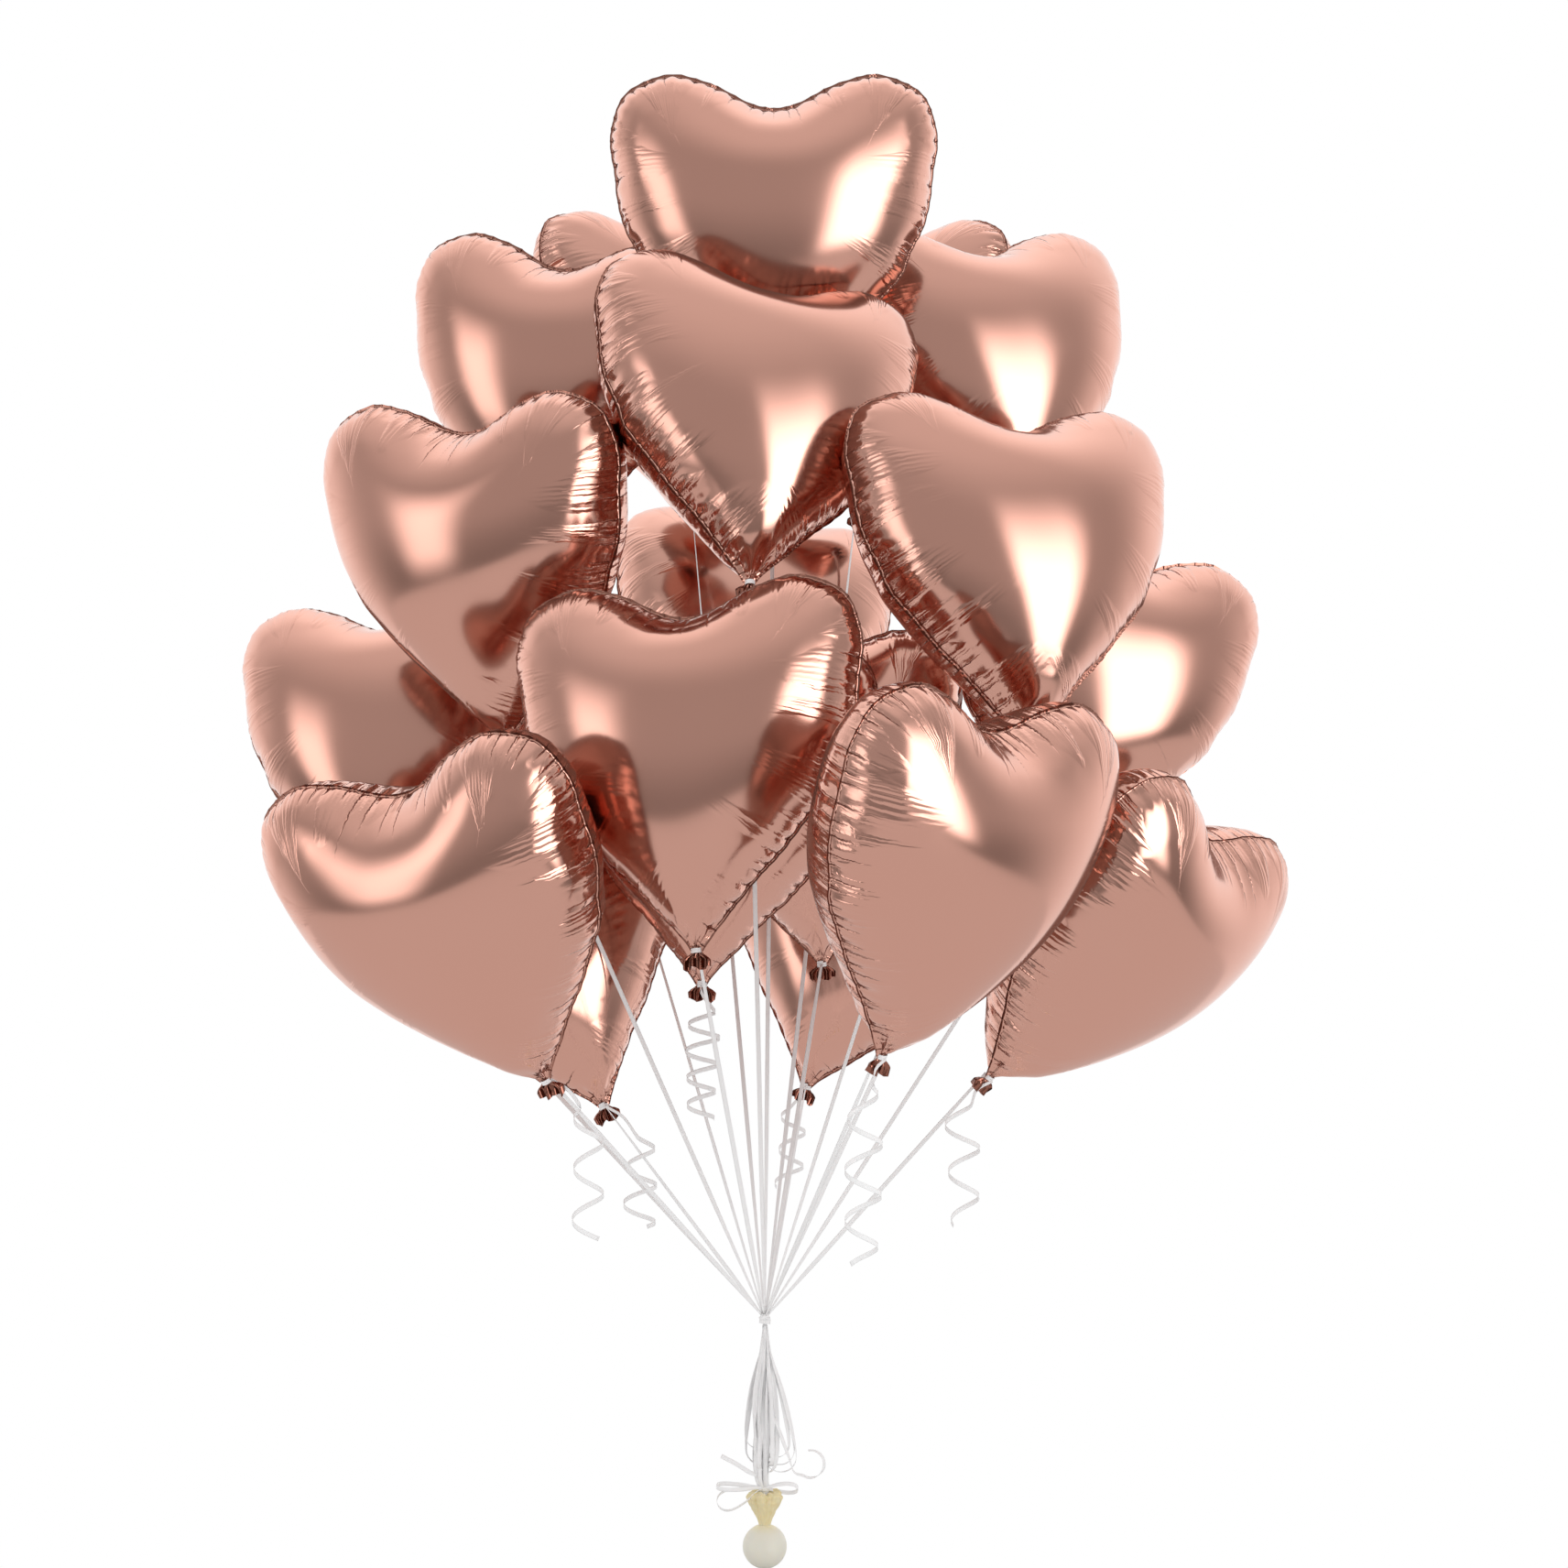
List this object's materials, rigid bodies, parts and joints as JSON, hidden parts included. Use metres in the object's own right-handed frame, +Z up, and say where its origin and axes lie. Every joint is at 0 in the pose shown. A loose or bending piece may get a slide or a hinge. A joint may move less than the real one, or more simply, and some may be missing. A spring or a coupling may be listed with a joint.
{
  "type": "heart-shaped foil balloon bouquet",
  "caption": "Bouquet of heart-shaped rose-gold foil balloons on white curling ribbons, gathered in one knot above a small cream latex weight.",
  "frame": {"origin": "the gather knot, where every ribbon is tied", "axes": "+Z up from the knot to the balloons; the front of the bouquet faces -Y; +X is to its right as seen from the front"},
  "size_m": [1.2147, 1.4125, 1.708],
  "materials": {
    "foil": "mirror-bright rose-gold metallised film",
    "ribbon": "satin white curling ribbon",
    "latex": "matt cream latex",
    "filling": "sand"
  },
  "bodies": {
    "gather": {"gather_knot": "ribbon", "front_film_01": "foil", "back_film_01": "foil", "ribbon_01": "ribbon", "front_film_06": "foil", "back_film_06": "foil", "ribbon_06": "ribbon", "front_film_16": "foil", "back_film_16": "foil", "ribbon_16": "ribbon", "front_film_17": "foil", "back_film_17": "foil", "ribbon_17": "ribbon", "front_film_19": "foil", "back_film_19": "foil"},
    "balloon_02": {"front_film_02": "foil", "back_film_02": "foil", "ribbon_02": "ribbon"},
    "balloon_03": {"front_film_03": "foil", "back_film_03": "foil", "ribbon_03": "ribbon"},
    "balloon_04": {"front_film_04": "foil", "back_film_04": "foil", "ribbon_04": "ribbon"},
    "balloon_05": {"front_film_05": "foil", "back_film_05": "foil", "ribbon_05": "ribbon"},
    "balloon_07": {"front_film_07": "foil", "back_film_07": "foil", "ribbon_07": "ribbon"},
    "balloon_08": {"front_film_08": "foil", "back_film_08": "foil", "ribbon_08": "ribbon"},
    "balloon_09": {"front_film_09": "foil", "back_film_09": "foil", "ribbon_09": "ribbon"},
    "balloon_10": {"front_film_10": "foil", "back_film_10": "foil", "ribbon_10": "ribbon"},
    "balloon_11": {"front_film_11": "foil", "back_film_11": "foil", "ribbon_11": "ribbon"},
    "balloon_12": {"front_film_12": "foil", "back_film_12": "foil", "ribbon_12": "ribbon"},
    "balloon_13": {"front_film_13": "foil", "back_film_13": "foil", "ribbon_13": "ribbon"},
    "balloon_14": {"front_film_14": "foil", "back_film_14": "foil", "ribbon_14": "ribbon"},
    "balloon_15": {"front_film_15": "foil", "back_film_15": "foil", "ribbon_15": "ribbon"},
    "balloon_18": {"front_film_18": "foil", "back_film_18": "foil", "ribbon_18": "ribbon"},
    "slack": {"slack_ribbon": "ribbon"},
    "weight": {"weight_skin": "latex", "weight_filling": "filling"}
  },
  "joints": [
    {"name": "balloon_02_swing", "type": "hinge", "parent": "gather", "child": "balloon_02", "pos_m": [0, 0, 0], "axis": [-0.2588, -0.9659, 0], "range_deg": [0, 8], "stiffness_Nm_per_rad": 0.4, "springref_deg": -28.65},
    {"name": "balloon_03_swing", "type": "hinge", "parent": "gather", "child": "balloon_03", "pos_m": [0, 0, 0], "axis": [-0.5, 0.866, 0], "range_deg": [0, 2], "stiffness_Nm_per_rad": 0.4, "springref_deg": -28.65},
    {"name": "balloon_04_swing", "type": "hinge", "parent": "gather", "child": "balloon_04", "pos_m": [0, 0, 0], "axis": [-0.5, -0.866, 0], "range_deg": [0, 3], "stiffness_Nm_per_rad": 0.4, "springref_deg": -28.65},
    {"name": "balloon_05_swing", "type": "hinge", "parent": "gather", "child": "balloon_05", "pos_m": [0, 0, 0], "axis": [-0.7071, 0.7071, 0], "range_deg": [0, 12], "stiffness_Nm_per_rad": 0.4, "springref_deg": -28.65},
    {"name": "balloon_07_swing", "type": "hinge", "parent": "gather", "child": "balloon_07", "pos_m": [0, 0, 0], "axis": [0.7071, -0.7071, 0], "range_deg": [0, 12], "stiffness_Nm_per_rad": 0.4, "springref_deg": -28.65},
    {"name": "balloon_08_swing", "type": "hinge", "parent": "gather", "child": "balloon_08", "pos_m": [0, 0, 0], "axis": [-0.7071, 0.7071, 0], "range_deg": [0, 6], "stiffness_Nm_per_rad": 0.4, "springref_deg": -28.65},
    {"name": "balloon_09_swing", "type": "hinge", "parent": "gather", "child": "balloon_09", "pos_m": [0, 0, 0], "axis": [-0.2588, -0.9659, 0], "range_deg": [0, 12], "stiffness_Nm_per_rad": 0.4, "springref_deg": -28.65},
    {"name": "balloon_10_swing", "type": "hinge", "parent": "gather", "child": "balloon_10", "pos_m": [0, 0, 0], "axis": [-0.2588, 0.9659, 0], "range_deg": [0, 12], "stiffness_Nm_per_rad": 0.4, "springref_deg": -28.65},
    {"name": "balloon_11_swing", "type": "hinge", "parent": "gather", "child": "balloon_11", "pos_m": [0, 0, 0], "axis": [0.2588, 0.9659, 0], "range_deg": [0, 8], "stiffness_Nm_per_rad": 0.4, "springref_deg": -28.65},
    {"name": "balloon_12_swing", "type": "hinge", "parent": "gather", "child": "balloon_12", "pos_m": [0, 0, 0], "axis": [0.7071, -0.7071, 0], "range_deg": [0, 12], "stiffness_Nm_per_rad": 0.4, "springref_deg": -28.65},
    {"name": "balloon_13_swing", "type": "hinge", "parent": "gather", "child": "balloon_13", "pos_m": [0, 0, 0], "axis": [0.9659, -0.2588, 0], "range_deg": [0, 12], "stiffness_Nm_per_rad": 0.4, "springref_deg": -28.65},
    {"name": "balloon_14_swing", "type": "hinge", "parent": "gather", "child": "balloon_14", "pos_m": [0, 0, 0], "axis": [0.5, 0.866, 0], "range_deg": [0, 12], "stiffness_Nm_per_rad": 0.4, "springref_deg": -28.65},
    {"name": "balloon_15_swing", "type": "hinge", "parent": "gather", "child": "balloon_15", "pos_m": [0, 0, 0], "axis": [0.7071, -0.7071, 0], "range_deg": [0, 1.5], "stiffness_Nm_per_rad": 0.4, "springref_deg": -28.65},
    {"name": "balloon_18_swing", "type": "hinge", "parent": "gather", "child": "balloon_18", "pos_m": [0, 0, 0], "axis": [-0.9659, 0.2588, 0], "range_deg": [0, 12], "stiffness_Nm_per_rad": 0.4, "springref_deg": -28.65},
    {"name": "slack_swing", "type": "hinge", "parent": "gather", "child": "slack", "pos_m": [0, 0, 0], "axis": [0, 1, 0], "range_deg": [-20, 20]},
    {"name": "weight_swing", "type": "hinge", "parent": "slack", "child": "weight", "pos_m": [0, 0, -0.232], "axis": [1, 0, 0], "range_deg": [-10, 10]}
  ]
}
